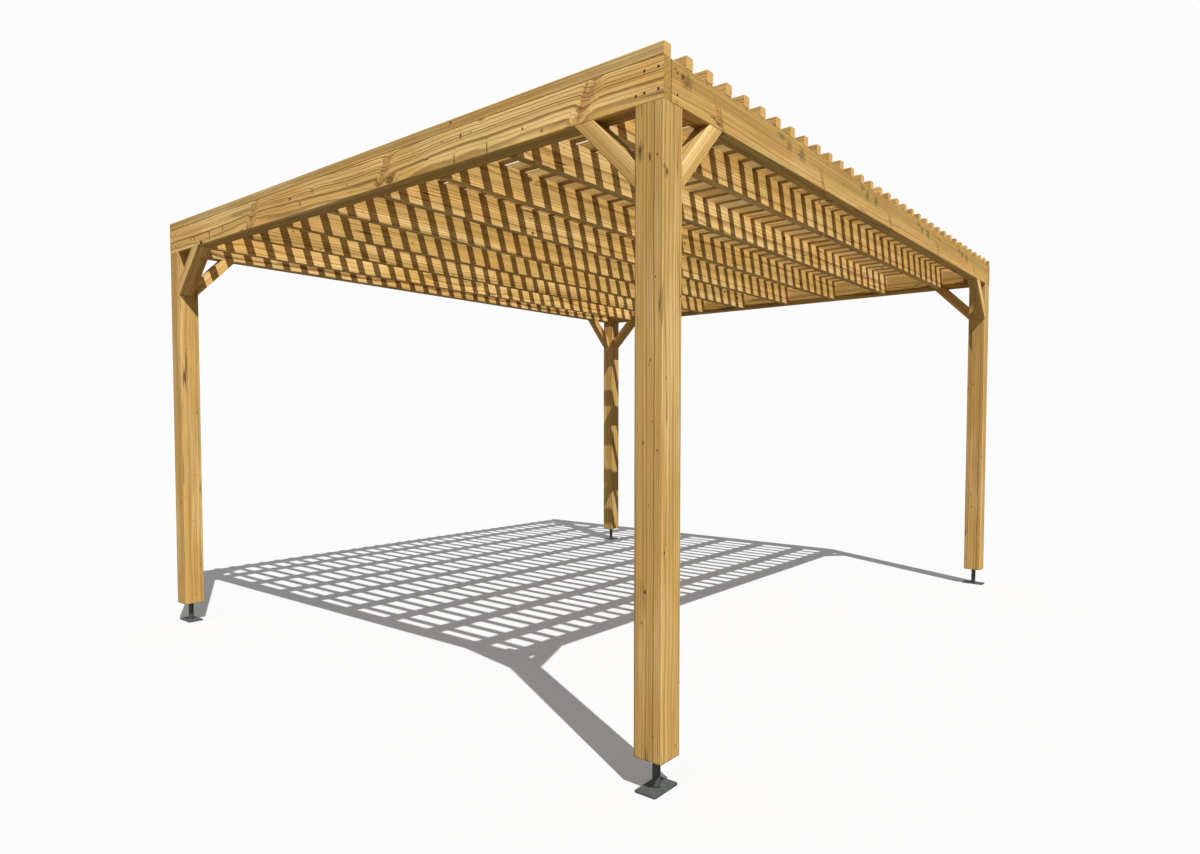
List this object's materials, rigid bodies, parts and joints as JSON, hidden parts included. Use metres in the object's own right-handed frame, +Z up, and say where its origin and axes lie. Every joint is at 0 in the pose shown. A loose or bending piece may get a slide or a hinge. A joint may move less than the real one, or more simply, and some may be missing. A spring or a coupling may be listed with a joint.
{
  "type": "garden pergola",
  "caption": "Free-standing timber pergola with a flat slatted roof on joists and a beam frame, knee-braced square posts and steel plate feet, open on all sides.",
  "frame": {"origin": "middle of the plan at ground level, on the plane of the foot plates' undersides", "axes": "+X along the front beam to the right, +Y from the front to the back along the joists, +Z up"},
  "size_m": [3.88, 4.72, 2.6],
  "materials": {
    "post_timber": "planed pressure-treated pine, bare and matt",
    "beam_timber": "planed pressure-treated pine, bare and matt",
    "joist_timber": "planed pressure-treated pine, bare and matt",
    "slat_timber": "planed pressure-treated pine, bare and matt",
    "brace_timber": "planed pressure-treated pine, bare and matt",
    "foot_steel": "dark grey, satin"
  },
  "bodies": {
    "root": {"post_front_left": "post_timber", "foot_front_left": "foot_steel", "brace_front_left_long": "brace_timber", "brace_front_left_side": "brace_timber", "post_front_right": "post_timber", "foot_front_right": "foot_steel", "brace_front_right_long": "brace_timber", "brace_front_right_side": "brace_timber", "post_back_right": "post_timber", "foot_back_right": "foot_steel", "brace_back_right_long": "brace_timber", "brace_back_right_side": "brace_timber", "post_back_left": "post_timber", "foot_back_left": "foot_steel", "brace_back_left_long": "brace_timber", "brace_back_left_side": "brace_timber", "beam_front": "beam_timber", "beam_back": "beam_timber", "beam_left": "beam_timber", "beam_right": "beam_timber", "joist_1": "joist_timber", "joist_2": "joist_timber", "joist_3": "joist_timber", "joist_4": "joist_timber", "joist_5": "joist_timber", "joist_6": "joist_timber", "joist_7": "joist_timber", "joist_8": "joist_timber", "roof_slats": "slat_timber"}
  },
  "joints": []
}
